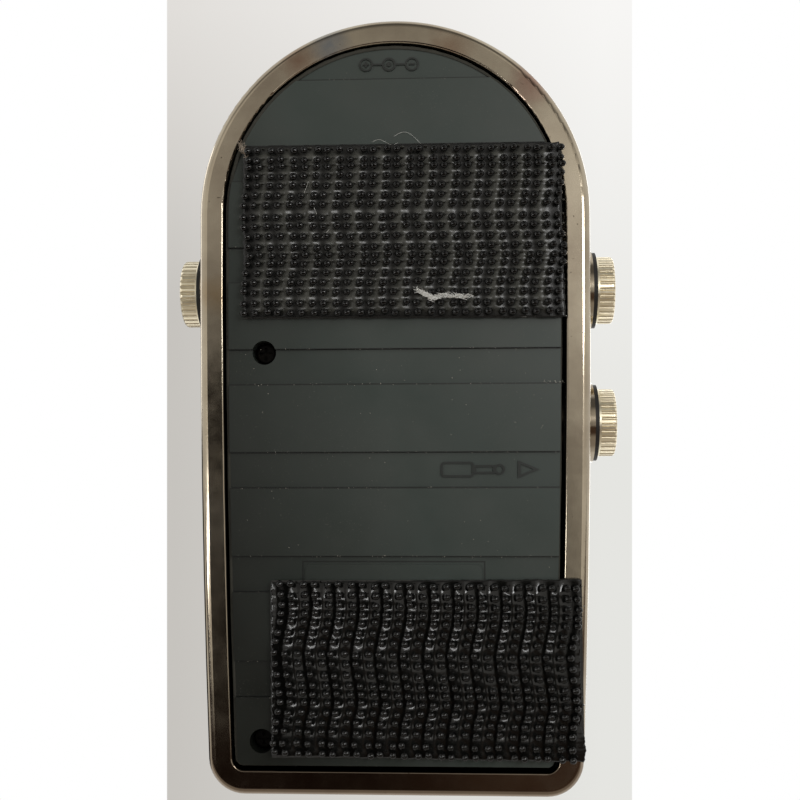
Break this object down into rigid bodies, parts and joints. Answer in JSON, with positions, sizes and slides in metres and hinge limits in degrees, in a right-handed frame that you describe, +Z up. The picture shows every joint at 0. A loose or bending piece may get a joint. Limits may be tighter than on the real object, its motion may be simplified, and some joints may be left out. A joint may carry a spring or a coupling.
{
  "type": "volume pedal",
  "caption": "Compact foot treadle volume pedal with a rounded toe end, jacks on both sides, a power inlet in the toe, and hook-fastener strips under its bottom plate.",
  "frame": {"origin": "on the floor under the middle of the casing, at the bottom of the overall box", "axes": "+Z up, +Y towards the round toe end, +X towards the player's right"},
  "size_m": [0.0876, 0.15, 0.0653],
  "materials": {
    "chrome": "chrome-plated die casting, worn on the rim",
    "deck_paint": "satin black powder coat on a die casting",
    "plate_plastic": "matt moulded plastic, dark grey",
    "screw_black": "black oxide steel",
    "screw_zinc": "zinc-plated steel",
    "adhesive": "dark foam adhesive",
    "hook_plastic": "glossy extruded plastic, black",
    "jack_plastic": "moulded plastic, black",
    "contact_metal": "tin-plated spring metal",
    "washer_black": "fibre washer, black",
    "nut_nickel": "nickel-plated brass, grooved",
    "board_green": "glass-epoxy board with green solder mask",
    "chip_black": "moulded epoxy",
    "capacitor_sleeve": "shrink sleeve over an aluminium can",
    "resistor_black": "thick-film chip",
    "connector_plastic": "moulded nylon, off-white",
    "wire_insulation": "plastic wire insulation",
    "bracket_steel": "bent sheet steel, zinc-plated",
    "pot_zinc": "stamped and die-cast parts of the potentiometer",
    "wafer_brown": "pressed phenolic board",
    "pinion_acetal": "moulded acetal, white",
    "quadrant_acetal": "moulded acetal, white",
    "shaft_steel": "ground steel",
    "bush_bronze": "sintered bronze",
    "stop_rubber": "moulded rubber",
    "pad_rubber": "moulded rubber tread"
  },
  "bodies": {
    "case": {"frame": "chrome", "deck": "deck_paint", "bottom_plate": "plate_plastic", "plate_screws": "screw_black", "deck_screws": "screw_zinc", "toe_strip_adhesive": "adhesive", "toe_hook_strip": "hook_plastic", "heel_strip_adhesive": "adhesive", "heel_hook_strip": "hook_plastic", "input_jack_body": "jack_plastic", "input_jack_contacts": "contact_metal", "input_jack_washer": "washer_black", "input_jack_nut": "nut_nickel", "output_jack_body": "jack_plastic", "output_jack_contacts": "contact_metal", "output_jack_washer": "washer_black", "output_jack_nut": "nut_nickel", "bypass_jack_body": "jack_plastic", "bypass_jack_contacts": "contact_metal", "bypass_jack_washer": "washer_black", "bypass_jack_nut": "nut_nickel", "power_inlet_body": "jack_plastic", "power_inlet_pin": "contact_metal", "circuit_board": "board_green", "board_chips": "chip_black", "board_capacitors": "capacitor_sleeve", "board_resistors": "resistor_black", "wire_connector": "connector_plastic", "pot_wires": "wire_insulation", "pot_bracket": "bracket_steel", "bracket_screws": "screw_zinc", "pot_bushing": "pot_zinc", "pot_washer": "pot_zinc", "pot_nut": "pot_zinc", "pot_wafer": "wafer_brown", "pot_lugs": "contact_metal", "pot_can": "pot_zinc", "left_pivot_bush": "bush_bronze", "right_pivot_bush": "bush_bronze", "toe_bumpers": "stop_rubber", "heel_bumpers": "stop_rubber"},
    "treadle": {"treadle": "chrome", "tread_pad": "pad_rubber", "pivot_shaft": "shaft_steel", "shaft_clips": "screw_zinc", "hub_grub_screws": "screw_black", "quadrant_gear": "quadrant_acetal", "quadrant_screws": "screw_zinc"},
    "pot_shaft": {"pot_shaft": "shaft_steel", "pinion": "pinion_acetal", "pinion_clip": "screw_zinc"}
  },
  "joints": [
    {"name": "treadle_tilt", "type": "hinge", "parent": "case", "child": "treadle", "pos_m": [0, -0.005, 0.0415], "axis": [-1, 0, 0], "range_deg": [0, 18]},
    {"name": "pot_turn", "type": "hinge", "parent": "case", "child": "pot_shaft", "pos_m": [0, -0.04489, 0.0182], "axis": [-1, 0, 0], "range_deg": [-225, 45]}
  ],
  "couplings": [
    {"joint": "pot_turn", "follows": "treadle_tilt", "ratio": -10}
  ]
}
